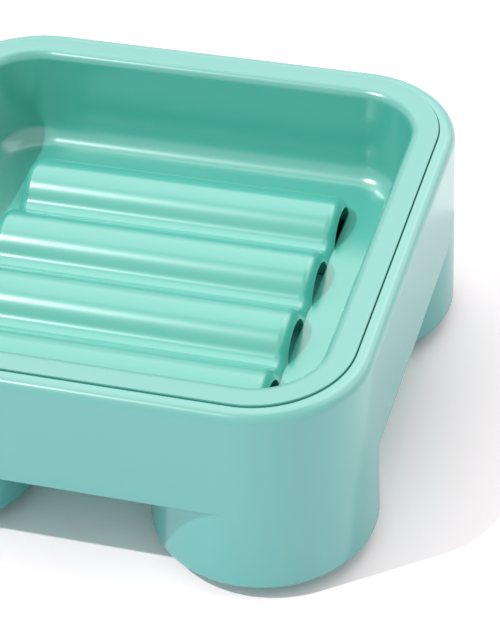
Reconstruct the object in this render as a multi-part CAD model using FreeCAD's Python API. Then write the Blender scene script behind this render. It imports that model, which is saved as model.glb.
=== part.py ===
import FreeCAD, Part
import math
import os
from FreeCAD import Vector

# Soap dish in two mouldings: a square tub on four round hollow feet, and a drain tray that lifts out of it.
# A round pad under each foot holds the tub off the table.
# Millimetres. Origin on the table under the middle of the dish, +X to the right, +Y to the back, +Z up.

# Outer form: heights are above the table
width = 115.0
depth = 115.0
rim_height = 47.1
corner_radius = 22.7
leg_height = 21.6

# Walls and edges of the base
base_wall = 3.3
base_floor = 1.6
foot_floor = 2.6
rim_edge_radius = 2.2
rim_inner_radius = 0.3
wall_edge_radius = 0.6
foot_edge_radius = 1.0
well_fillet = 4.0

# Pads under the feet, each set into a round recess
pad_stand = 3.2
pad_radius = 15.0
pad_recess = 0.8
pad_clearance = 0.15
pad_edge_radius = 0.8

# Shell of the tray
seam_gap = 0.15
tray_wall = 2.0
flange_proud = 0.45
flange_width = 5.9
flange_edge_radius = 0.35
lip_radius = 2.2
bowl_draft = math.radians(2.0)
bowl_fillet = 5.2

# Ribbed floor of the tray: heights are above the bowl's floor
rib_count = 4
rib_pitch = 19.05
rib_length = 70.0
crest_height = 6.5
valley_height = 1.75
crest_radius = 8.5
rib_end_radius = 2.4

# Levels and insets that follow from these
base_floor_top = leg_height + base_floor
well_bottom = pad_stand + foot_floor
pad_top = pad_stand + pad_recess
tray_bottom = base_floor_top
tray_floor = tray_bottom + tray_wall
crest_top = tray_floor + crest_height
flange_top = rim_height + flange_proud
flange_inset = base_wall + seam_gap
bowl_inset = flange_inset + flange_width

# Arcs of the rib wave: crest and valley arcs meet in a common tangent half-way between their centres
swell = crest_height - valley_height
arc_sum = ((rib_pitch / 2) ** 2 + swell ** 2) / (2 * swell)
valley_radius = arc_sum - crest_radius
flank_angle = math.acos(1 - swell / arc_sum)
outer_flank_angle = math.acos(1 - crest_height / arc_sum)
rib_centres = [(rib - (rib_count - 1) / 2) * rib_pitch for rib in range(rib_count)]

# Reach of a cutting tool past the face that it cuts
overshoot = 1.0
same_place = 1e-4


def outline(inset, level):
    """Closed rounded rectangle that lies inset inside the outer form, at one height."""
    arcs = []
    for quarter, (x, y) in enumerate(foot_centres()):
        circle = Part.Circle(Vector(x, y, level), Vector(0, 0, 1), corner_radius - inset)
        start = quarter * math.pi / 2
        arcs.append(Part.ArcOfCircle(circle, start, start + math.pi / 2))
    edges = []
    for arc, following in zip(arcs, arcs[1:] + arcs[:1]):
        edges.append(arc.toShape())
        edges.append(Part.LineSegment(arc.EndPoint, following.StartPoint).toShape())
    return Part.Wire(edges)


def foot_centres():
    """Axes of the corners and feet, counter-clockwise from the back right one."""
    x = width / 2 - corner_radius
    y = depth / 2 - corner_radius
    return [(x, y), (-x, y), (-x, -y), (x, -y)]


def disc(centre, radius, bottom, top):
    """Upright cylinder on a foot's axis."""
    return Part.makeCylinder(radius, top - bottom, Vector(*centre, bottom))


def block(inset, bottom, top):
    """Upright block of the rounded outline."""
    return Part.Face(outline(inset, bottom)).extrude(Vector(0, 0, top - bottom))


def bowl_block(thickness, bottom, top):
    """Block of the bowl's plan, larger all round by thickness, closing in downwards by the draft."""
    wires = []
    for level in (bottom, top):
        inset = bowl_inset - thickness + (flange_top - level) * math.tan(bowl_draft)
        wires.append(outline(inset, level))
    return Part.makeLoft(wires, True, True)


def edges_at(shape, level):
    """Edges of a shape that lie flat at one height."""
    return [edge for edge in shape.Edges
            if max(abs(point.z - level) for point in edge.discretize(3)) < same_place]


def edges_along(shape, path):
    """Edges of a shape that run along a wire."""
    found = []
    for edge in edges_at(shape, path.Vertexes[0].Z):
        gaps = [path.distToShape(Part.Vertex(point))[0] for point in edge.discretize(3)]
        if max(gaps) < same_place:
            found.append(edge)
    return found


def make_base():
    """Tub on four feet on the corners' axes, hollow from above and recessed for pads below."""
    tub = block(0, leg_height, rim_height)
    tub = tub.makeFillet(rim_edge_radius, edges_at(tub, rim_height))
    tub = tub.makeFillet(wall_edge_radius, edges_at(tub, leg_height))
    hollow = block(base_wall, base_floor_top, rim_height)
    recesses = []
    for centre in foot_centres():
        foot = disc(centre, corner_radius, pad_stand, leg_height + 2 * wall_edge_radius)
        foot = foot.makeFillet(foot_edge_radius, edges_at(foot, pad_stand))
        tub = tub.fuse(foot)
        well = disc(centre, corner_radius - base_wall, well_bottom, base_floor_top)
        well = well.makeFillet(well_fillet, edges_at(well, well_bottom))
        hollow = hollow.fuse(well)
        recesses.append(disc(centre, pad_radius + pad_clearance, pad_stand - overshoot, pad_top))
    base = tub.removeSplitter().cut(hollow.removeSplitter()).cut(recesses)
    return base.makeFillet(rim_inner_radius, edges_along(base, outline(base_wall, rim_height)))


def make_pad(centre):
    """Round pad from the table up into a foot's recess, with a rounded lower edge."""
    pad = disc(centre, pad_radius, 0, pad_top)
    return pad.makeFillet(pad_edge_radius, edges_at(pad, 0))


def make_pan():
    """Flange and bowl of the tray, with a plain floor."""
    flange = block(flange_inset, flange_top - tray_wall, flange_top)
    flange = flange.makeFillet(flange_edge_radius, edges_at(flange, flange_top))
    shell = bowl_block(tray_wall, tray_bottom, flange_top - tray_wall / 2)
    shell = shell.makeFillet(bowl_fillet + tray_wall, edges_at(shell, tray_bottom))
    bowl = bowl_block(0, tray_floor, flange_top)
    bowl = bowl.makeFillet(bowl_fillet, edges_at(bowl, tray_floor))
    pan = flange.fuse(shell).cut(bowl)
    return pan.makeFillet(lip_radius, edges_along(pan, outline(bowl_inset, flange_top)))


def wave(drop):
    """Edges of the rib wave from front to back in the plane X = 0, moved square to itself by drop."""
    crest = crest_radius - drop
    valley = valley_radius + drop
    crest_centre = crest_top - crest_radius

    def on_crest(middle, angle):
        return Vector(0, middle + crest * math.sin(angle), crest_centre + crest * math.cos(angle))

    def on_valley(middle, bottom, angle):
        return Vector(0, middle + valley * math.sin(angle), bottom + valley_radius - valley * math.cos(angle))

    def arc(first, between, last):
        return Part.Arc(first, between, last).toShape()

    run_out = arc_sum * math.sin(outer_flank_angle)
    valley_floor = tray_floor + valley_height
    front_end = rib_centres[0] - run_out
    back_end = rib_centres[-1] + run_out
    edges = [arc(*(on_valley(front_end, tray_floor, outer_flank_angle * part) for part in (0, 0.5, 1)))]
    for rib, middle in enumerate(rib_centres):
        front = outer_flank_angle if rib == 0 else flank_angle
        back = outer_flank_angle if rib == rib_count - 1 else flank_angle
        edges.append(arc(on_crest(middle, -front), on_crest(middle, 0), on_crest(middle, back)))
        if rib < rib_count - 1:
            dip = middle + rib_pitch / 2
            edges.append(arc(*(on_valley(dip, valley_floor, flank_angle * part) for part in (-1, 0, 1))))
    edges.append(arc(*(on_valley(back_end, tray_floor, outer_flank_angle * part) for part in (-1, -0.5, 0))))
    return edges


def under_wave(drop, bottom, half_length):
    """Solid under the rib wave, down to one height and along the ribs to half_length each way."""
    edges = wave(drop)
    first = edges[0].firstVertex().Point
    last = edges[-1].lastVertex().Point
    corners = [last, Vector(0, last.y, bottom), Vector(0, first.y, bottom), first]
    sides = [Part.LineSegment(a, b).toShape() for a, b in zip(corners, corners[1:])]
    face = Part.Face(Part.Wire(edges + sides))
    face.translate(Vector(-half_length, 0, 0))
    return face.extrude(Vector(2 * half_length, 0, 0))


def make_ribs():
    """Solid ribs with both ends rounded over, cut off level with the underside of the tray."""
    half = rib_length / 2
    root = tray_bottom - rib_end_radius
    ribs = under_wave(0, root, half)
    ends = [edge for edge in ribs.Edges
            if edge.Curve.TypeId == "Part::GeomCircle" and abs(abs(edge.CenterOfMass.x) - half) < same_place]
    ribs = ribs.makeFillet(rib_end_radius, ends)
    keep = Part.makeBox(rib_length, depth, crest_top - tray_bottom, Vector(-half, -depth / 2, tray_bottom))
    return ribs.common(keep)


def make_drains():
    """Arched bars that open both ends of each rib, with a slot under each through the floor."""
    arch_radius = crest_radius - tray_wall
    arch_foot = math.sqrt(arch_radius ** 2 - (crest_radius - crest_height) ** 2)
    length = rib_length + 2 * overshoot
    bars = []
    for middle in rib_centres:
        start = Vector(-length / 2, middle, crest_top - crest_radius)
        bar = Part.makeCylinder(arch_radius, length, start, Vector(1, 0, 0))
        corner = Vector(-length / 2, middle - arch_radius, tray_floor)
        above = Part.makeBox(length, 2 * arch_radius, crest_height, corner)
        corner = Vector(-rib_length / 2, middle - arch_foot, tray_bottom - overshoot)
        slot = Part.makeBox(rib_length, 2 * arch_foot, tray_floor - corner.z, corner)
        bars.append(bar.common(above).fuse(slot))
    return bars


def make_tray():
    """Pan with a ribbed floor of even thickness, open underneath and through the arched rib ends."""
    tray = make_pan().fuse(make_ribs())
    hollow = under_wave(tray_wall, tray_bottom - overshoot, rib_length / 2 - tray_wall)
    tray = tray.cut(hollow)
    for drain in make_drains():
        tray = tray.cut(drain)
    return tray.removeSplitter()


if __name__ == "__main__":
    os.makedirs("parts", exist_ok=True)
    pieces = {"base": make_base(), "tray": make_tray()}
    for corner, centre in zip(("back_right", "back_left", "front_left", "front_right"), foot_centres()):
        pieces[f"foot_pad_{corner}"] = make_pad(centre)
    for name, solid in pieces.items():
        print(name, "valid", solid.isValid(), "solids", len(solid.Solids), "volume", round(solid.Volume, 1))
        solid.exportStep(f"parts/{name}.step")
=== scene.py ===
import math

import bmesh
import bpy
from mathutils import Matrix, Vector


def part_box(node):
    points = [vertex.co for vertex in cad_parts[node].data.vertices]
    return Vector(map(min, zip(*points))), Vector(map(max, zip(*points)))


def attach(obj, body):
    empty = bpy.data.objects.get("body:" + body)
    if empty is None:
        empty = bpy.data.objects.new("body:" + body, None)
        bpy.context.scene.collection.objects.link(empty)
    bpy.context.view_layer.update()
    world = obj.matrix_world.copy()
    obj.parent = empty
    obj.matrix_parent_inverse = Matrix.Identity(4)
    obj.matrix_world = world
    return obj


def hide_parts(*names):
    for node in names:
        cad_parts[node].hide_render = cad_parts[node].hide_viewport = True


bl_info = {
    "name": "Soap Dish with Drain Tray",
    "version": (1, 0, 0),
    "blender": (4, 5, 0),
    "location": "3D View > Sidebar > Soap Dish",
    "description": "Builds a moulded soap dish on round feet, its pads and its lift-out drain tray",
    "category": "Add Mesh",
}

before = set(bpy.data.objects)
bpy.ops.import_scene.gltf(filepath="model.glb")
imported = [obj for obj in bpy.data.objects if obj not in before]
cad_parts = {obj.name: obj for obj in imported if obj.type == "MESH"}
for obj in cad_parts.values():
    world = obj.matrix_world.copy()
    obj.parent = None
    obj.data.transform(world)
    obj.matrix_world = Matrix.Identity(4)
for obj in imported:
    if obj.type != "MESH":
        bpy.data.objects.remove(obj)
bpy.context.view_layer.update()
BASE_LOW, BASE_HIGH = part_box("base")
TRAY_LOW, TRAY_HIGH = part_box("tray")
PAD_NODES = sorted(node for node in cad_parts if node.startswith("foot_pad_"))
PAD_LOW, PAD_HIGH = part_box("foot_pad_back_right")

# Metres in a millimetre
MM = 0.001

# Steps of the meshes: along straight sides, round a quarter turn of a corner or foot, round edges and
# fillets, where an edge fades, along the ribs, over crests, dips and flanks, and down the ribs' ends
SIDE_STEPS = 8
CORNER_STEPS = 28
EDGE_STEPS = 8
FILLET_STEPS = 14
FADE_STEPS = 8
LENGTH_STEPS = 6
CREST_STEPS = 20
VALLEY_STEPS = 12
FLANK_STEPS = 4
END_STEPS = 10

# Corners nearer than this are one corner
WELD = 0.0005 * MM

# Edges that turn by more than this stay crisp
CRISP_ANGLE = math.radians(32)

# Halvings of a turn in the search for where a clearance is used up
HALVINGS = 50

# Repeats of a quarter and of a half round the upright axis
QUARTERS = 4
HALVES = 2

# Noise in the finishes: its scale per metre, and its detail
PLASTIC_CLOUD = (28.0, 4.0)
PLASTIC_GRAIN = (900.0, 3.0)
PLASTIC_WAVE = (70.0, 1.0)
RUBBER_GRAIN = (1600.0, 5.0)
RUBBER_CLOUD = (120.0, 3.0)
NOISE_MEAN = 0.5

# How far the noise whitens, roughens and raises the plastic
CLOUD_WHITE = 0.04
CLOUD_ROUGHNESS = 0.06
GRAIN_ROUGHNESS = 0.04
WAVE_STRENGTH = 0.05
WAVE_DEPTH = 0.02 * MM

# How far it lightens, roughens and raises the rubber
RUBBER_LIGHTER = 1.35
RUBBER_ROUGHNESS = 0.2
RUBBER_STRENGTH = 0.35
RUBBER_DEPTH = 0.06 * MM

WHITE = (1, 1, 1, 1)


def length(name, description, default):
    """Property of one size, in metres."""
    return bpy.props.FloatProperty(
        name=name, description=description, default=default, min=0, unit="LENGTH", precision=4)


def angle(name, description, degrees):
    """Property of one angle, in radians."""
    return bpy.props.FloatProperty(
        name=name, description=description, default=math.radians(degrees), subtype="ANGLE")


def share(name, description, default, most=1.0):
    """Property of one number without a unit."""
    return bpy.props.FloatProperty(
        name=name, description=description, default=default, min=0, max=most, subtype="FACTOR")


def colour(name, description, default):
    """Property of one linear colour."""
    return bpy.props.FloatVectorProperty(
        name=name, description=description, default=default, min=0, max=1, subtype="COLOR")


def refraction(name, description, default):
    """Property of one refractive index."""
    return bpy.props.FloatProperty(name=name, description=description, default=default, min=1, max=3)


def wattage(name, description, default):
    """Property of one lamp's power, in watts."""
    return bpy.props.FloatProperty(
        name=name, description=description, default=default, min=0, unit="POWER")


def spot_in_space(name, description, default):
    """Property of one point, in metres."""
    return bpy.props.FloatVectorProperty(
        name=name, description=description, default=default, subtype="TRANSLATION", unit="LENGTH")


def heading(name, description, default):
    """Property of one direction, of any length."""
    return bpy.props.FloatVectorProperty(
        name=name, description=description, default=default, subtype="DIRECTION")


class BaseSizes(bpy.types.PropertyGroup):
    """Sizes of the tub, its feet and their pads; heights are above the table."""

    width: length("Width", "Width and depth over the tub", BASE_HIGH.x - BASE_LOW.x)
    rim_height: length("Rim height", "Top of the tub's rim", BASE_HIGH.z)
    corner_radius: length("Corner radius", "Radius of the corners and of the feet", 22.7 * MM)
    leg_height: length("Leg height", "Underside of the tub", 21.6 * MM)
    wall: length("Wall", "Thickness of the tub's wall", 3.3 * MM)
    floor: length("Floor", "Thickness of the tub's floor", 1.6 * MM)
    foot_floor: length("Foot floor", "Thickness of the bottom of each hollow foot", 2.6 * MM)
    rim_edge: length("Rim edge", "Radius of the rim's outer edge", 2.2 * MM)
    rim_inner_edge: length("Inner rim edge", "Radius of the rim's inner edge", 0.15 * MM)
    wall_edge: length("Wall edge", "Radius of the wall's lower edge", 0.6 * MM)
    foot_edge: length("Foot edge", "Radius of a foot's lower edge", 1.0 * MM)
    well_fillet: length("Well fillet", "Radius at the bottom of a foot's hollow", 4.0 * MM)
    foot_bottom: length("Foot bottom", "Lower edge of the feet", BASE_LOW.z)
    pad_radius: length("Pad radius", "Radius of a pad", (PAD_HIGH.x - PAD_LOW.x) / 2)
    pad_top: length("Pad top", "Top of a pad in its recess", PAD_HIGH.z)
    pad_gap: length("Pad gap", "Room round a pad in its recess", 0.15 * MM)
    pad_edge: length("Pad edge", "Radius of a pad's lower edge", 0.8 * MM)


class TraySizes(bpy.types.PropertyGroup):
    """Sizes of the drain tray."""

    flange_top: length("Flange top", "Height of the flange above the table", TRAY_HIGH.z)
    bottom: length("Bottom", "Height of the tray's underside above the table", TRAY_LOW.z)
    flange_inset: length("Flange inset", "Flange's edge inside the tub's outline", BASE_HIGH.x - TRAY_HIGH.x)
    flange_width: length("Flange width", "From the flange's edge to the bowl", 5.9 * MM)
    flange_edge: length("Flange edge", "Radius of the flange's outer edge", 0.2 * MM)
    wall: length("Wall", "Thickness of the tray", 2.0 * MM)
    lip: length("Lip", "Radius from the flange into the bowl", 2.2 * MM)
    draft: angle("Draft", "Lean of the bowl's sides", 2.0)
    fillet: length("Fillet", "Radius between the bowl's sides and floor", 5.2 * MM)


class RibSizes(bpy.types.PropertyGroup):
    """Sizes of the ribbed floor; heights are above the bowl's floor."""

    count: bpy.props.IntProperty(name="Ribs", description="Number of ribs", default=4, min=2)
    pitch: length("Pitch", "From rib to rib", 19.05 * MM)
    length: length("Length", "Length of the ribs", 70.0 * MM)
    crest: length("Crest", "Height of the ribs", 6.5 * MM)
    valley: length("Valley", "Height of the dips between ribs", 1.75 * MM)
    crest_radius: length("Crest radius", "Radius over a rib", 8.5 * MM)
    end_radius: length("End radius", "Radius of the ribs' rounded ends", 2.4 * MM)


class Finish(bpy.types.PropertyGroup):
    """Colours and gloss."""

    # Tub colours: the walls are paler and bluer than the rim, a painted sheen for the bluish light the walls
    # mirror; the darker, greener rim colour is painted shade on the top, blended in over the band below
    base_colour_and_sheen: colour("Tub colour", "Plastic of the tub", (0.145, 0.650, 0.620))
    base_rim_painted_shade: colour("Tub rim colour", "Plastic of the tub at its rim", (0.135, 0.535, 0.455))
    tray_colour: colour("Tray colour", "Plastic of the tray", (0.076, 0.525, 0.432))
    # The tray's flange colour is darker than its body: painted shade on the flange's top
    tray_rim_painted_shade: colour("Tray rim colour", "Plastic of the tray at its flange", (0.090, 0.480, 0.412))
    painted_shade_band: length("Rim band", "Height over which the plastic turns to its rim colour", 2.4 * MM)
    pad_colour: colour("Pad colour", "Rubber of the pads", (0.075, 0.080, 0.080))
    roughness: share("Roughness", "Roughness of the moulded plastic", 0.32)
    plastic_ior: refraction("Plastic index", "Refractive index of the plastic", 1.5)
    gloss_coat: share("Gloss", "Share of the polished skin on the plastic", 1.0)
    coat_roughness: share("Gloss roughness", "Roughness of the polished skin", 0.20)
    coat_ior: refraction("Gloss index", "Refractive index of the polished skin", 1.8)
    pad_roughness: share("Pad roughness", "Roughness of the rubber", 0.62)


class Stage(bpy.types.PropertyGroup):
    """Camera, light and floor."""

    azimuth: angle("Azimuth", "Camera's turn to the right of the front", 17.65)
    elevation: angle("Elevation", "Camera's height above the horizon", 39.4)
    roll: angle("Roll", "Camera's turn about its own axis", -3.1)
    distance: length("Distance", "From the camera to the point that it looks at", 509.8 * MM)
    target: spot_in_space(
        "Target", "Point that the camera looks at", (21.97 * MM, 2.22 * MM, 21.39 * MM))
    lens: bpy.props.FloatProperty(
        name="Lens", description="Focal length in millimetres", default=142.2, min=1)
    key_travel: heading("Key travel", "Direction in which the key light falls", (0.5165, 0.3694, -1.0))
    key_strength: share("Key strength", "Strength of the key light", 1.35, 10)
    key_spread: angle("Key spread", "Width of the key light, which softens its shadows", 1.2)
    sky_low: share("Low sky", "Strength of the light from all round", 0.13, 10)
    sky_rise: share("Sky rise", "How much stronger that light is from its brightest side", 0.64, 10)
    sky_side: heading(
        "Bright side", "Direction in which the light from all round is brightest", (-0.35, -0.58, 0.74))
    softbox_width: length("Softbox width", "Width of each soft light", 1.6)
    softbox_height: length("Softbox height", "Height of each soft light", 1.2)
    side_place: spot_in_space("Side softbox", "Middle of the soft light on the right", (0.75, 0.55, 0.85))
    side_power: wattage("Side power", "Power of the soft light on the right", 4.8)
    back_place: spot_in_space(
        "Back softbox", "Middle of the soft light behind, which shines off the tops", (-0.19, 0.62, 1.06))
    back_power: wattage("Back power", "Power of the soft light behind", 6.2)
    floor_colour: colour("Floor colour", "Pale floor", (0.70, 0.70, 0.70))
    floor_gain: share("Floor gain", "How pale the floor is seen, apart from the light it throws back", 1.5, 4)
    mirror_gain: share("Mirrored gain", "How pale the floor is mirrored in a gloss", 1.0, 4)
    floor_tint: colour(
        "Floor tint", "Offsets the green that the dish throws on the seen floor", (1.0, 0.88, 0.90))
    floor_size: length("Floor size", "Side of the floor", 12.0)


class SoapDish(bpy.types.PropertyGroup):
    """Everything that can be changed about the dish."""

    base: bpy.props.PointerProperty(type=BaseSizes)
    tray: bpy.props.PointerProperty(type=TraySizes)
    ribs: bpy.props.PointerProperty(type=RibSizes)
    finish: bpy.props.PointerProperty(type=Finish)
    stage: bpy.props.PointerProperty(type=Stage)


class Socket:
    """One output of a node; arithmetic on it adds Math nodes to its tree."""

    def __init__(self, board, output):
        self.board = board
        self.output = output

    def __add__(self, other):
        return self.board.maths("ADD", self, other)

    def __radd__(self, other):
        return self.board.maths("ADD", other, self)

    def __sub__(self, other):
        return self.board.maths("SUBTRACT", self, other)

    def __rsub__(self, other):
        return self.board.maths("SUBTRACT", other, self)

    def __mul__(self, other):
        return self.board.maths("MULTIPLY", self, other)

    def __truediv__(self, other):
        return self.board.maths("DIVIDE", self, other)


class Board:
    """A node tree that is being wired up, for a material, the world or a geometry."""

    def __init__(self, tree):
        self.tree = tree
        self.tree.nodes.clear()

    def node(self, kind, settings=None, sockets=None):
        """Adds a node, sets it up, fills or links its inputs, and returns its outputs by name."""
        made = self.tree.nodes.new(kind)
        for name, value in (settings or {}).items():
            setattr(made, name, value)
        for name, value in (sockets or {}).items():
            if isinstance(name, str):
                put = next(entry for entry in made.inputs if entry.enabled and entry.name == name)
            else:
                put = made.inputs[name]
            if isinstance(value, Socket):
                self.tree.links.new(value.output, put)
            else:
                put.default_value = value
        return {entry.name: Socket(self, entry) for entry in made.outputs if entry.enabled}

    def maths(self, operation, first, second):
        """Result of one Math node."""
        return self.node("ShaderNodeMath", {"operation": operation}, {0: first, 1: second})["Value"]


def steps(first, last, count):
    """Even steps from first to last, both included."""
    return [first + (last - first) * step / count for step in range(count + 1)]


def last_clear(clearance, most):
    """Turn from 0 to most at which a clearance that falls with the turn is used up."""
    low, high = 0, most
    for _ in range(HALVINGS):
        middle = (low + high) / 2
        if clearance(middle) > 0:
            low = middle
        else:
            high = middle
    return low


def rounded_path(corners, count):
    """Path through corners (inset, height, radius); a corner with a radius becomes a tangent arc."""
    path = []
    for place, (inset, height, radius) in enumerate(corners):
        corner = Vector((inset, height))
        if not radius:
            path.append(corner)
            continue
        back = (Vector(corners[place - 1][:2]) - corner).normalized()
        ahead = (Vector(corners[place + 1][:2]) - corner).normalized()
        half = back.angle(ahead) / 2
        centre = corner + (back + ahead).normalized() * (radius / math.sin(half))
        reach = radius / math.tan(half)
        spoke_in = corner + back * reach - centre
        spoke_out = corner + ahead * reach - centre
        sweep = math.pi - 2 * half
        for part in steps(0, 1, count):
            spoke = spoke_in * math.sin((1 - part) * sweep) + spoke_out * math.sin(part * sweep)
            path.append(centre + spoke / math.sin(sweep))
    return path


def quarter_round(axis, places):
    """Stations of one quarter of the outline, from the middle of the right side to that of the back.

    Each is an anchor and the direction in which the outline lies from it. places are along the right
    side, from its middle to the corner's axis.
    """
    side = [(Vector((axis, place)), Vector((1, 0))) for place in places]
    corner = [(Vector((axis, axis)), Vector((math.cos(turn), math.sin(turn))))
              for turn in steps(0, math.pi / 2, CORNER_STEPS)[1:-1]]
    back = [(Vector((place, axis)), Vector((0, 1))) for place in reversed(places)]
    return side + corner + back


def at(station, reach, height):
    """Point that lies reach from a station's anchor, at one height."""
    anchor, direction = station
    return (anchor + direction * reach).to_3d() + Vector((0, 0, height))


def round_axis(axis, radius, turn, height):
    """Point of a circle round a foot's axis."""
    return Vector((axis + radius * math.cos(turn), axis + radius * math.sin(turn), height))


class Skin:
    """Surface of one piece, gathered patch by patch."""

    def __init__(self, *meshes):
        self.faces = bmesh.new()
        for mesh in meshes:
            self.faces.from_mesh(mesh)

    def patch(self, rows, closed=False):
        """Faces between neighbouring rows of points; closed rows meet their own start."""
        grid = [[self.faces.verts.new(point) for point in row] for row in rows]
        for upper, lower in zip(grid, grid[1:]):
            pairs = list(zip(upper, lower))
            if closed:
                pairs.append(pairs[0])
            for (a, b), (d, c) in zip(pairs, pairs[1:]):
                self.faces.faces.new((a, b, c, d))

    def flat(self, points):
        """One flat face; a point that repeats the one before it is left out."""
        before = points[-1:] + points[:-1]
        apart = [point for point, last in zip(points, before) if (point - last).length > WELD]
        self.faces.faces.new([self.faces.verts.new(point) for point in apart])

    def weld(self):
        """Makes one corner of corners that meet."""
        bmesh.ops.remove_doubles(self.faces, verts=self.faces.verts, dist=WELD)

    def fill_level(self, height):
        """Closes a flat floor between all the open edges at one height."""
        rim = [edge for edge in self.faces.edges
               if edge.is_boundary and all(abs(corner.co.z - height) < WELD for corner in edge.verts)]
        bmesh.ops.triangle_fill(self.faces, edges=rim, use_beauty=True, normal=(0, 0, 1))

    def mesh(self, name):
        """The surface as a plain mesh."""
        self.weld()
        made = bpy.data.meshes.new(name)
        self.faces.to_mesh(made)
        self.faces.free()
        return made


def new_tree(name, inputs):
    """Empty geometry tree with named inputs, and its board and input sockets."""
    tree = bpy.data.node_groups.new(name, "GeometryNodeTree")
    board = Board(tree)
    tree.interface.new_socket("Geometry", in_out="INPUT", socket_type="NodeSocketGeometry")
    for title, kind in inputs.items():
        tree.interface.new_socket(title, in_out="INPUT", socket_type=kind)
    tree.interface.new_socket("Geometry", in_out="OUTPUT", socket_type="NodeSocketGeometry")
    return tree, board, board.node("NodeGroupInput")


def end_tree(board, instances, given):
    """Real, welded geometry with its material, as every repeat ends."""
    real = board.node("GeometryNodeRealizeInstances", {}, {"Geometry": instances})["Geometry"]
    welded = board.node("GeometryNodeMergeByDistance", {}, {"Geometry": real, "Distance": WELD})["Geometry"]
    painted = board.node("GeometryNodeSetMaterial", {}, {"Geometry": welded, "Material": given["Material"]})
    board.node("NodeGroupOutput", {}, {"Geometry": painted["Geometry"]})


def tree_round():
    """Tree that repeats a section evenly round the upright axis."""
    tree, board, given = new_tree(
        "repeat_round", {"Count": "NodeSocketInt", "Material": "NodeSocketMaterial"})
    points = board.node("GeometryNodePoints", {}, {"Count": given["Count"]})["Points"]
    turn = board.node("GeometryNodeInputIndex")["Index"] * (2 * math.pi) / given["Count"]
    euler = board.node("ShaderNodeCombineXYZ", {}, {"Z": turn})["Vector"]
    rotation = board.node("FunctionNodeEulerToRotation", {}, {"Euler": euler})["Rotation"]
    instances = board.node("GeometryNodeInstanceOnPoints", {}, {
        "Points": points, "Instance": given["Geometry"], "Rotation": rotation})["Instances"]
    end_tree(board, instances, given)
    return tree


def tree_in_line():
    """Tree that repeats a section from front to back, centred on the middle."""
    tree, board, given = new_tree("repeat_in_line", {
        "Count": "NodeSocketInt", "Pitch": "NodeSocketFloat", "Material": "NodeSocketMaterial"})
    first = board.node("ShaderNodeCombineXYZ", {}, {"Y": (1 - given["Count"]) * given["Pitch"] / 2})["Vector"]
    offset = board.node("ShaderNodeCombineXYZ", {}, {"Y": given["Pitch"]})["Vector"]
    line = board.node("GeometryNodeMeshLine", {"mode": "OFFSET", "count_mode": "TOTAL"}, {
        "Count": given["Count"], "Start Location": first, "Offset": offset})["Mesh"]
    instances = board.node("GeometryNodeInstanceOnPoints", {}, {
        "Points": line, "Instance": given["Geometry"]})["Instances"]
    end_tree(board, instances, given)
    return tree


def plain_mesh(carrier):
    """What an object's modifiers give, as a plain mesh; the object is removed."""
    depsgraph = bpy.context.evaluated_depsgraph_get()
    made = bpy.data.meshes.new_from_object(
        carrier.evaluated_get(depsgraph), preserve_all_data_layers=True, depsgraph=depsgraph)
    bpy.data.objects.remove(carrier)
    return made


def new_object(name, mesh):
    """Object of a mesh, in the scene."""
    made = bpy.data.objects.new(name, mesh)
    bpy.context.scene.collection.objects.link(made)
    return made


def repeated(section, tree, **values):
    """Mesh of a section that a tree repeats, with the tree's named inputs set."""
    carrier = new_object("section", section)
    modifier = carrier.modifiers.new("repeat", "NODES")
    modifier.node_group = tree
    for entry in tree.interface.items_tree:
        if entry.in_out == "INPUT" and entry.name in values:
            modifier[entry.identifier] = values[entry.name]
    return plain_mesh(carrier)


def finished(name, skin, material, body, nodes):
    """Piece with outward faces and crisp edges only where it turns; it rides on a body for its solids."""
    skin.weld()
    bmesh.ops.recalc_face_normals(skin.faces, faces=skin.faces.faces)
    if not all(edge.is_manifold for edge in skin.faces.edges):
        raise RuntimeError(f"{name} isn't closed")
    mesh = skin.mesh(name)
    mesh.materials.clear()
    mesh.materials.append(material)
    mesh.shade_smooth()
    mesh.set_sharp_from_angle(angle=CRISP_ANGLE)
    carrier = new_object("unshaded", mesh)
    carrier.modifiers.new("even", "WEIGHTED_NORMAL").keep_sharp = True
    piece = new_object(name, plain_mesh(carrier))
    piece.data.name = name
    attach(piece, body)
    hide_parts(*nodes)
    return piece


def noise(board, place, kind):
    """Noise from 0 to 1 in space, of one scale and detail."""
    scale, detail = kind
    return board.node("ShaderNodeTexNoise", {}, {"Vector": place, "Scale": scale, "Detail": detail})["Fac"]


def blend(board, factor, first, second):
    """Colour between two colours."""
    return board.node("ShaderNodeMix", {"data_type": "RGBA"}, {
        "Factor": factor, "A": first, "B": second})["Result"]


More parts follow.
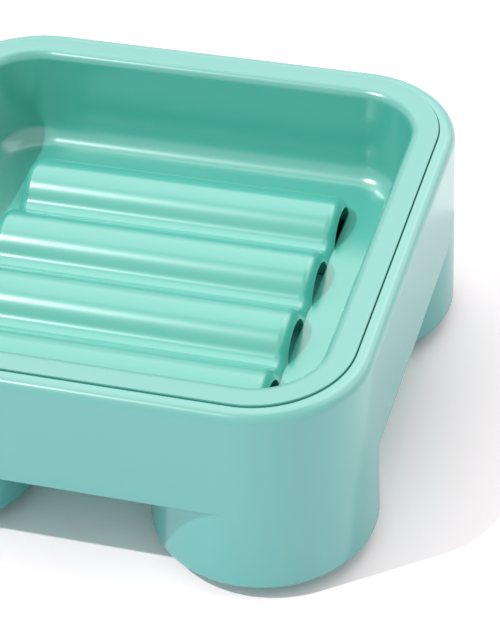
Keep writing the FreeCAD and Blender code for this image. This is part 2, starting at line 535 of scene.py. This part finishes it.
def moulded_plastic(name, tint, painted_shade_tint, rim_height, finish):
    """Glossy moulded plastic: a faintly cloudy colour, a darker rim colour painted in as shade over a band
    below the rim, and a polished skin.
    """
    material = bpy.data.materials.new(name)
    material.use_nodes = True
    board = Board(material.node_tree)
    place = board.node("ShaderNodeTexCoord")["Object"]
    cloud = noise(board, place, PLASTIC_CLOUD)
    grain = noise(board, place, PLASTIC_GRAIN)
    wave = noise(board, place, PLASTIC_WAVE)
    # Painted shade: below the rim's height the colour fades to the darker, greener rim colour over a band,
    # for the stronger light on the tops
    height = board.node("ShaderNodeSeparateXYZ", {}, {"Vector": place})["Z"]
    rim = board.node("ShaderNodeMapRange", {"interpolation_type": "SMOOTHSTEP"}, {
        "Value": height, "From Min": rim_height - finish.painted_shade_band, "From Max": rim_height})["Result"]
    plain = blend(board, rim, (*tint, 1), (*painted_shade_tint, 1))
    shade = blend(board, cloud * CLOUD_WHITE, plain, WHITE)
    rough = finish.roughness + (cloud - NOISE_MEAN) * CLOUD_ROUGHNESS + (grain - NOISE_MEAN) * GRAIN_ROUGHNESS
    relief = board.node("ShaderNodeBump", {}, {
        "Strength": WAVE_STRENGTH, "Distance": WAVE_DEPTH, "Height": wave})["Normal"]
    surface = board.node("ShaderNodeBsdfPrincipled", {}, {
        "Base Color": shade, "Roughness": rough, "Normal": relief, "IOR": finish.plastic_ior,
        "Coat Weight": finish.gloss_coat, "Coat Roughness": finish.coat_roughness,
        "Coat IOR": finish.coat_ior})["BSDF"]
    board.node("ShaderNodeOutputMaterial", {}, {"Surface": surface})
    return material


def matt_rubber(name, tint, finish):
    """Soft matt rubber with a fine grain."""
    material = bpy.data.materials.new(name)
    material.use_nodes = True
    board = Board(material.node_tree)
    place = board.node("ShaderNodeTexCoord")["Object"]
    grain = noise(board, place, RUBBER_GRAIN)
    cloud = noise(board, place, RUBBER_CLOUD)
    light = [part * RUBBER_LIGHTER for part in tint]
    shade = blend(board, cloud, (*tint, 1), (*light, 1))
    rough = finish.pad_roughness + (grain - NOISE_MEAN) * RUBBER_ROUGHNESS
    relief = board.node("ShaderNodeBump", {}, {
        "Strength": RUBBER_STRENGTH, "Distance": RUBBER_DEPTH, "Height": grain})["Normal"]
    surface = board.node("ShaderNodeBsdfPrincipled", {}, {
        "Base Color": shade, "Roughness": rough, "Normal": relief})["BSDF"]
    board.node("ShaderNodeOutputMaterial", {}, {"Surface": surface})
    return material


def base_quarter(sizes):
    """One quarter of the tub: its walls, half of two sides, and one hollow foot."""
    skin = Skin()
    radius = sizes.corner_radius
    axis = sizes.width / 2 - radius
    floor_top = sizes.leg_height + sizes.floor
    edge = sizes.wall_edge
    edge_top = sizes.leg_height + edge

    # The wall's lower edge fades into a foot over this turn from where foot and wall are flush
    fade = math.acos(1 - edge / radius)
    turns = steps(fade, 0, FADE_STEPS)
    plain = steps(0, axis - radius * math.sin(fade), SIDE_STEPS)
    places = plain + [axis - radius * math.sin(turn) for turn in turns[1:]]
    stations = quarter_round(axis, places)
    side = stations[:len(places)]
    back = stations[-len(places):]
    sweeps = [math.pi / 2] * len(plain)
    sweeps += [math.acos(1 - radius * (1 - math.cos(turn)) / edge) for turn in turns[1:]]

    # Wall and rim, from the floor inside over the rim to the lower edge outside
    section = rounded_path([
        (sizes.wall, floor_top, 0),
        (sizes.wall, sizes.rim_height, sizes.rim_inner_edge),
        (0, sizes.rim_height, sizes.rim_edge),
        (0, edge_top, 0)], EDGE_STEPS)
    skin.patch([[at(station, radius - inset, height) for station in stations] for inset, height in section])

    # Lower edge of both half sides
    for stretch, turned in ((side, sweeps), (back, sweeps[::-1])):
        rows = []
        for part in steps(0, 1, EDGE_STEPS):
            rows.append([at(station, radius - edge * (1 - math.cos(sweep * part)),
                            edge_top - edge * math.sin(sweep * part))
                         for station, sweep in zip(stretch, turned)])
        skin.patch(rows)

    # Foot, from the lower edge of the wall to the recess for its pad
    fade_tops = [edge_top - edge * math.sin(sweep) for sweep in sweeps[len(plain) - 1:]]
    corner_turns = steps(0, math.pi / 2, CORNER_STEPS)
    inner_turns = steps(math.pi / 2 + fade, 2 * math.pi - fade, 3 * CORNER_STEPS)
    foot_turns = [-turn for turn in turns] + corner_turns[1:-1]
    foot_turns += [math.pi / 2 + turn for turn in reversed(turns)] + inner_turns[1:-1]
    tops = fade_tops + [edge_top] * (CORNER_STEPS - 1) + fade_tops[::-1]
    tops += [sizes.leg_height] * (len(inner_turns) - 2)
    recess = sizes.pad_radius + sizes.pad_gap
    foot = rounded_path([
        (radius, sizes.leg_height, 0),
        (radius, sizes.foot_bottom, sizes.foot_edge),
        (recess, sizes.foot_bottom, 0),
        (recess, sizes.pad_top, 0)], EDGE_STEPS)
    rows = [[round_axis(axis, radius, turn, top) for turn, top in zip(foot_turns, tops)]]
    rows += [[round_axis(axis, reach, turn, height) for turn in foot_turns] for reach, height in foot[1:]]
    skin.patch(rows, closed=True)
    skin.flat(rows[-1])

    # Hollow of the foot, flush with the corner of the tub's inside
    well = radius - sizes.wall
    well_bottom = sizes.foot_bottom + sizes.foot_floor
    well_turns = steps(0, 2 * math.pi, 4 * CORNER_STEPS)[:-1]
    hollow = rounded_path([
        (well, floor_top, 0),
        (well, well_bottom, sizes.well_fillet),
        (0, well_bottom, 0)], EDGE_STEPS)[:-1]
    rows = [[round_axis(axis, reach, turn, height) for turn in well_turns] for reach, height in hollow]
    skin.patch(rows, closed=True)
    skin.flat(rows[-1])

    # Flat floor inside, and flat underside, both cut out round the foot
    inside = [at(station, well, floor_top) for station in side]
    inside += [round_axis(axis, well, turn, floor_top) for turn in reversed(well_turns[CORNER_STEPS + 1:])]
    inside += [at(station, well, floor_top) for station in back]
    skin.flat(inside + [Vector((0, 0, floor_top))])
    under = [at(station, radius - edge, sizes.leg_height) for station in side[:len(plain)]]
    under += [round_axis(axis, radius, turn, sizes.leg_height) for turn in reversed(inner_turns[1:-1])]
    under += [at(station, radius - edge, sizes.leg_height) for station in back[-len(plain):]]
    skin.flat(under + [Vector((0, 0, sizes.leg_height))])
    return skin.mesh("base_quarter")


def pad_disc(sizes):
    """One pad on the axis of the back right foot."""
    skin = Skin()
    axis = sizes.width / 2 - sizes.corner_radius
    turns = steps(0, 2 * math.pi, 2 * CORNER_STEPS)[:-1]
    section = rounded_path([
        (sizes.pad_radius, sizes.pad_top, 0),
        (sizes.pad_radius, 0, sizes.pad_edge),
        (0, 0, 0)], EDGE_STEPS)[:-1]
    rows = [[round_axis(axis, reach, turn, height) for turn in turns] for reach, height in section]
    skin.patch(rows, closed=True)
    skin.flat(rows[0])
    skin.flat(rows[-1])
    return skin.mesh("pad_disc")


def tray_quarter(base, tray):
    """One quarter of the tray's shell, from the edge of the bowl's floor over the flange to the underside."""
    skin = Skin()
    radius = base.corner_radius
    axis = base.width / 2 - radius
    floor = tray.bottom + tray.wall
    lean = math.tan(tray.draft)

    def bowl_side(height, thickness):
        return tray.flange_inset + tray.flange_width - thickness + (tray.flange_top - height) * lean

    flange_under = tray.flange_top - tray.wall
    section = rounded_path([
        (radius, floor, 0),
        (bowl_side(floor, 0), floor, tray.fillet),
        (bowl_side(tray.flange_top, 0), tray.flange_top, tray.lip),
        (tray.flange_inset, tray.flange_top, tray.flange_edge),
        (tray.flange_inset, flange_under, 0),
        (bowl_side(flange_under, tray.wall), flange_under, 0),
        (bowl_side(tray.bottom, tray.wall), tray.bottom, tray.fillet + tray.wall),
        (radius, tray.bottom, 0)], FILLET_STEPS)[1:-1]
    stations = quarter_round(axis, steps(0, axis, SIDE_STEPS))
    skin.patch([[at(station, radius - inset, height) for station in stations] for inset, height in section])
    return skin.mesh("tray_quarter")


class RibWave:
    """Cross-section of the ribbed floor, from one crest to the next or to the flat floor beside the ribs.

    Crests and dips are tangent arcs. A station is a point of the wave and its outward normal, as Y and Z
    from the first crest's middle.
    """

    def __init__(self, tray, ribs, runs_out):
        self.tray = tray
        self.ribs = ribs
        self.floor = tray.bottom + tray.wall
        self.half = ribs.length / 2
        swell = ribs.crest - ribs.valley
        arc_sum = ((ribs.pitch / 2) ** 2 + swell ** 2) / (2 * swell)
        self.valley_radius = arc_sum - ribs.crest_radius
        self.arch_radius = ribs.crest_radius - tray.wall
        drop = ribs.crest if runs_out else swell
        self.flank = math.acos(1 - drop / arc_sum)
        crest_height = self.floor + ribs.crest - ribs.crest_radius
        self.dip = Vector((arc_sum * math.sin(self.flank), crest_height + arc_sum * math.cos(self.flank)))
        self.crests = [Vector((0, crest_height))]
        if not runs_out:
            self.crests.append(Vector((ribs.pitch, crest_height)))
        foot = self.foot_angle()
        self.stations = [self.on_crest(self.crests[0], turn) for turn in steps(0, self.flank, CREST_STEPS)]
        self.last_tunnel = CREST_STEPS + FLANK_STEPS
        self.stations += [self.on_dip(turn) for turn in steps(-self.flank, -foot, FLANK_STEPS)[1:]]
        if runs_out:
            self.stations += [self.on_dip(turn) for turn in steps(-foot, 0, VALLEY_STEPS)[1:]]
        else:
            self.stations += [self.on_dip(turn) for turn in steps(-foot, foot, 2 * VALLEY_STEPS)[1:]]
            self.stations += [self.on_dip(turn) for turn in steps(foot, self.flank, FLANK_STEPS)[1:]]
            self.stations += [self.on_crest(self.crests[1], turn)
                              for turn in steps(-self.flank, 0, CREST_STEPS)[1:]]

    def on_crest(self, middle, turn):
        """Station on a crest's arc."""
        normal = Vector((math.sin(turn), math.cos(turn)))
        return middle + normal * self.ribs.crest_radius, normal

    def on_dip(self, turn):
        """Station on the dip's arc."""
        normal = Vector((-math.sin(turn), math.cos(turn)))
        return self.dip - normal * self.valley_radius, normal

    def down_the_end(self, station, turn):
        """Reach along X and place in the section, this far round the rounded end and then straight down."""
        point, normal = station
        radius = self.ribs.end_radius
        over = min(turn, math.pi / 2)
        place = point - normal * (radius * (1 - math.cos(over)))
        place = place - Vector((0, radius * (turn - over)))
        return self.half - radius + radius * math.sin(over), place

    def into_arch(self, place):
        """How far a place stands clear of the nearest arched opening."""
        return min((place - crest).length for crest in self.crests) - self.arch_radius

    def foot_angle(self):
        """Turn on the dip's arc of the station whose end comes down where an arch meets the floor."""
        def clear_of_arch(turn):
            station = self.on_dip(-turn)
            landing = last_clear(lambda down: self.down_the_end(station, down)[1].y - self.floor, math.pi)
            return self.into_arch(self.down_the_end(station, landing)[1])

        return last_clear(clear_of_arch, self.flank)

    def end_of(self, station):
        """Points down a rounded end, to the arched opening or the floor, whichever comes first."""
        def clear(turn):
            place = self.down_the_end(station, turn)[1]
            return min(place.y - self.floor, self.into_arch(place))

        height = station[0].y - self.floor
        turn = last_clear(clear, math.pi) if height > WELD else 0
        return [self.down_the_end(station, part) for part in steps(0, turn, END_STEPS)]


def rib_section(tray, ribs, runs_out):
    """Ribbed floor from one crest to the next, or from the last crest to the flat floor beside it."""
    skin = Skin()
    wave = RibWave(tray, ribs, runs_out)
    stations = wave.stations
    inner = wave.half - tray.wall
    straight = wave.half - ribs.end_radius
    ends = [wave.end_of(station) for station in stations]
    roof = [point - normal * tray.wall for point, normal in stations]
    middle = 0 if runs_out else ribs.pitch / 2

    def spot(x, place):
        return Vector((x, place.x - middle, place.y))

    # Top of the ribs, and the ceiling under them
    skin.patch([[spot(x, point) for point, _ in stations] for x in steps(-straight, straight, LENGTH_STEPS)])
    skin.patch([[spot(x, place) for place in roof] for x in steps(-inner, inner, LENGTH_STEPS)])

    # Openings: the stations that end at each, its edge on the floor, and the middle of its rib
    last = len(stations) - 1
    foot_x, foot = ends[wave.last_tunnel][-1]
    openings = [(range(0, wave.last_tunnel + 1), foot.x, 0)]
    if not runs_out:
        openings.append((range(last - wave.last_tunnel, last + 1), ribs.pitch - foot.x, ribs.pitch))
    for side in (-1, 1):
        # Rounded end
        skin.patch([[spot(side * x, place) for x, place in end] for end in ends])

        for tunnel, edge, crest in openings:
            # Arch through the end
            mouth = [ends[index][-1] for index in tunnel]
            skin.patch([[spot(side * x, place) for x, place in mouth],
                        [spot(side * inner, place) for _, place in mouth]])

            # Slot under the arch through the floor: its side and its end
            low, high = Vector((edge, tray.bottom)), Vector((edge, wave.floor))
            skin.flat([spot(side * x, place) for x, place in (
                (inner, low), (wave.half, low), (wave.half, high), (foot_x, high), (inner, high))])
            middle_low, middle_high = Vector((crest, tray.bottom)), Vector((crest, wave.floor))
            skin.flat([spot(side * wave.half, place) for place in (low, high, middle_high, middle_low)])

        # Face inside the end, between the openings
        arch = [Vector((foot.x, tray.bottom))]
        arch += [ends[index][-1][1] for index in range(wave.last_tunnel, CREST_STEPS, -1)]
        outline = arch + (roof[CREST_STEPS:] if runs_out else roof[CREST_STEPS:last - CREST_STEPS + 1])
        if not runs_out:
            outline += [Vector((ribs.pitch - place.x, place.y)) for place in reversed(arch)]
        skin.flat([spot(side * inner, place) for place in outline])
    return skin.mesh("rib_section")


class SOAPDISH_OT_base(bpy.types.Operator):
    """Build the tub on its four hollow feet"""

    bl_idname = "soapdish.base"
    bl_label = "Base"

    def execute(self, context):
        dish = context.scene.soap_dish
        plastic = moulded_plastic("base_plastic", dish.finish.base_colour_and_sheen, dish.finish.base_rim_painted_shade,
                                  dish.base.rim_height, dish.finish)
        mesh = repeated(base_quarter(dish.base), tree_round(), Count=QUARTERS, Material=plastic)
        finished("base_shell", Skin(mesh), plastic, "base", ["base"])
        return {"FINISHED"}


class SOAPDISH_OT_foot_pads(bpy.types.Operator):
    """Build the pads under the feet"""

    bl_idname = "soapdish.foot_pads"
    bl_label = "Foot Pads"

    def execute(self, context):
        dish = context.scene.soap_dish
        rubber = matt_rubber("pad_rubber", dish.finish.pad_colour, dish.finish)
        mesh = repeated(pad_disc(dish.base), tree_round(), Count=len(PAD_NODES), Material=rubber)
        finished("foot_pads", Skin(mesh), rubber, "base", PAD_NODES)
        return {"FINISHED"}


class SOAPDISH_OT_drain_tray(bpy.types.Operator):
    """Build the drain tray with its ribbed floor"""

    bl_idname = "soapdish.drain_tray"
    bl_label = "Drain Tray"

    def execute(self, context):
        dish = context.scene.soap_dish
        tray, ribs = dish.tray, dish.ribs
        plastic = moulded_plastic("tray_plastic", dish.finish.tray_colour, dish.finish.tray_rim_painted_shade,
                                  tray.flange_top, dish.finish)
        shell = repeated(tray_quarter(dish.base, tray), tree_round(), Count=QUARTERS, Material=plastic)
        dips = repeated(rib_section(tray, ribs, False), tree_in_line(),
                        Count=ribs.count - 1, Pitch=ribs.pitch, Material=plastic)
        outer = rib_section(tray, ribs, True)
        outer.transform(Matrix.Translation((0, (ribs.count - 1) / 2 * ribs.pitch, 0)))
        run_outs = repeated(outer, tree_round(), Count=HALVES, Material=plastic)
        skin = Skin(shell, dips, run_outs)
        skin.weld()
        skin.fill_level(tray.bottom + tray.wall)
        skin.fill_level(tray.bottom)
        finished("drain_tray", skin, plastic, "tray", ["tray"])
        return {"FINISHED"}


def seen_or_mirrored(board):
    """1 for rays from the camera, from a gloss or through glass, otherwise 0."""
    path = board.node("ShaderNodeLightPath")
    direct = board.maths("MAXIMUM", path["Is Camera Ray"], path["Is Glossy Ray"])
    return board.maths("MAXIMUM", direct, path["Is Transmission Ray"])


def add_floor(stage):
    """Pale floor that shows white where the key light falls and keeps the dish's shadow."""
    half = stage.floor_size / 2
    skin = Skin()
    skin.flat([Vector((x * half, y * half, 0)) for x, y in ((-1, -1), (1, -1), (1, 1), (-1, 1))])
    floor = new_object("floor", skin.mesh("floor"))
    material = bpy.data.materials.new("pale_floor")
    material.use_nodes = True
    board = Board(material.node_tree)
    plain = board.node("ShaderNodeBsdfDiffuse", {}, {"Color": (*stage.floor_colour, 1)})["BSDF"]
    seen = [stage.floor_gain * part for part in stage.floor_tint]
    mirrored = [stage.mirror_gain] * 3
    direct = board.node("ShaderNodeLightPath")["Is Camera Ray"]
    pale = blend(board, direct, (*mirrored, 1), (*seen, 1))
    white = board.node("ShaderNodeBsdfDiffuse", {}, {"Color": pale})["BSDF"]
    surface = board.node("ShaderNodeMixShader", {}, {
        "Fac": seen_or_mirrored(board), 1: plain, 2: white})["Shader"]
    board.node("ShaderNodeOutputMaterial", {}, {"Surface": surface})
    floor.data.materials.append(material)


def add_light(stage):
    """Hard key light from the front left, two softboxes, and a white room that is brighter on one side."""
    key = bpy.data.lights.new("key", "SUN")
    key.energy = stage.key_strength
    key.angle = stage.key_spread
    lamp = new_object("key", key)
    lamp.rotation_mode = "QUATERNION"
    lamp.rotation_quaternion = Vector(stage.key_travel).to_track_quat("-Z", "Y")
    for name, place, power in (("side_softbox", stage.side_place, stage.side_power),
                               ("back_softbox", stage.back_place, stage.back_power)):
        softbox = bpy.data.lights.new(name, "AREA")
        softbox.shape = "RECTANGLE"
        softbox.size = stage.softbox_width
        softbox.size_y = stage.softbox_height
        softbox.energy = power
        lamp = new_object(name, softbox)
        lamp.location = place
        lamp.rotation_mode = "QUATERNION"
        lamp.rotation_quaternion = (-lamp.location).to_track_quat("-Z", "Y")
        lamp.visible_camera = False
    world = bpy.data.worlds.new("white_room")
    world.use_nodes = True
    board = Board(world.node_tree)
    direction = board.node("ShaderNodeTexCoord")["Generated"]
    bright = Vector(stage.sky_side).normalized()
    toward = board.node("ShaderNodeVectorMath", {"operation": "DOT_PRODUCT"}, {
        0: direction, 1: bright})["Value"]
    rise = board.maths("MAXIMUM", toward, 0.0) * stage.sky_rise + stage.sky_low
    fill = board.node("ShaderNodeBackground", {}, {"Strength": rise})["Background"]
    white = board.node("ShaderNodeBackground", {}, {"Color": WHITE, "Strength": 1.0})["Background"]
    surface = board.node("ShaderNodeMixShader", {}, {
        "Fac": seen_or_mirrored(board), 1: fill, 2: white})["Shader"]
    board.node("ShaderNodeOutputWorld", {}, {"Surface": surface})
    bpy.context.scene.world = world


def add_camera(stage):
    """Camera at the photograph's place, turned a little about its own axis."""
    level = math.cos(stage.elevation)
    back = Vector((math.sin(stage.azimuth) * level, -math.cos(stage.azimuth) * level,
                   math.sin(stage.elevation)))
    right = Vector((math.cos(stage.azimuth), math.sin(stage.azimuth), 0))
    turn = Matrix.Rotation(stage.roll, 3, back)
    axes = Matrix((turn @ right, turn @ back.cross(right), back)).transposed()
    camera = new_object("camera", bpy.data.cameras.new("camera"))
    camera.data.lens = stage.lens
    camera.data.clip_start = 1 * MM
    camera.matrix_world = Matrix.Translation(Vector(stage.target) + back * stage.distance) @ axes.to_4x4()
    bpy.context.scene.camera = camera


class SOAPDISH_OT_stage(bpy.types.Operator):
    """Set the floor, the light and the camera"""

    bl_idname = "soapdish.stage"
    bl_label = "Stage"

    def execute(self, context):
        stage = context.scene.soap_dish.stage
        add_floor(stage)
        add_light(stage)
        add_camera(stage)
        context.scene.view_settings.view_transform = "Standard"
        return {"FINISHED"}


class SOAPDISH_PT_panel(bpy.types.Panel):
    """Sizes, finish and building steps of the soap dish"""

    bl_idname = "SOAPDISH_PT_panel"
    bl_label = "Soap Dish"
    bl_space_type = "VIEW_3D"
    bl_region_type = "UI"
    bl_category = "Soap Dish"

    def draw(self, context):
        dish = context.scene.soap_dish
        for operator, groups in PANEL_ROWS:
            self.layout.operator(operator.bl_idname)
            for group in groups:
                sizes = getattr(dish, group)
                for name in sizes.__annotations__:
                    self.layout.prop(sizes, name)


PANEL_ROWS = (
    (SOAPDISH_OT_base, ("base", "finish")),
    (SOAPDISH_OT_foot_pads, ()),
    (SOAPDISH_OT_drain_tray, ("tray", "ribs")),
    (SOAPDISH_OT_stage, ("stage",)),
)
CLASSES = (
    BaseSizes, TraySizes, RibSizes, Finish, Stage, SoapDish,
    SOAPDISH_OT_base, SOAPDISH_OT_foot_pads, SOAPDISH_OT_drain_tray, SOAPDISH_OT_stage, SOAPDISH_PT_panel,
)


def register():
    """Adds the classes and the dish's settings."""
    for entry in CLASSES:
        bpy.utils.register_class(entry)
    bpy.types.Scene.soap_dish = bpy.props.PointerProperty(type=SoapDish)


def unregister():
    """Takes them away again."""
    del bpy.types.Scene.soap_dish
    for entry in reversed(CLASSES):
        bpy.utils.unregister_class(entry)


def main():
    """Builds the dish and its stage."""
    register()
    bpy.ops.soapdish.base()
    bpy.ops.soapdish.foot_pads()
    bpy.ops.soapdish.drain_tray()
    bpy.ops.soapdish.stage()


if __name__ == "__main__":
    main()
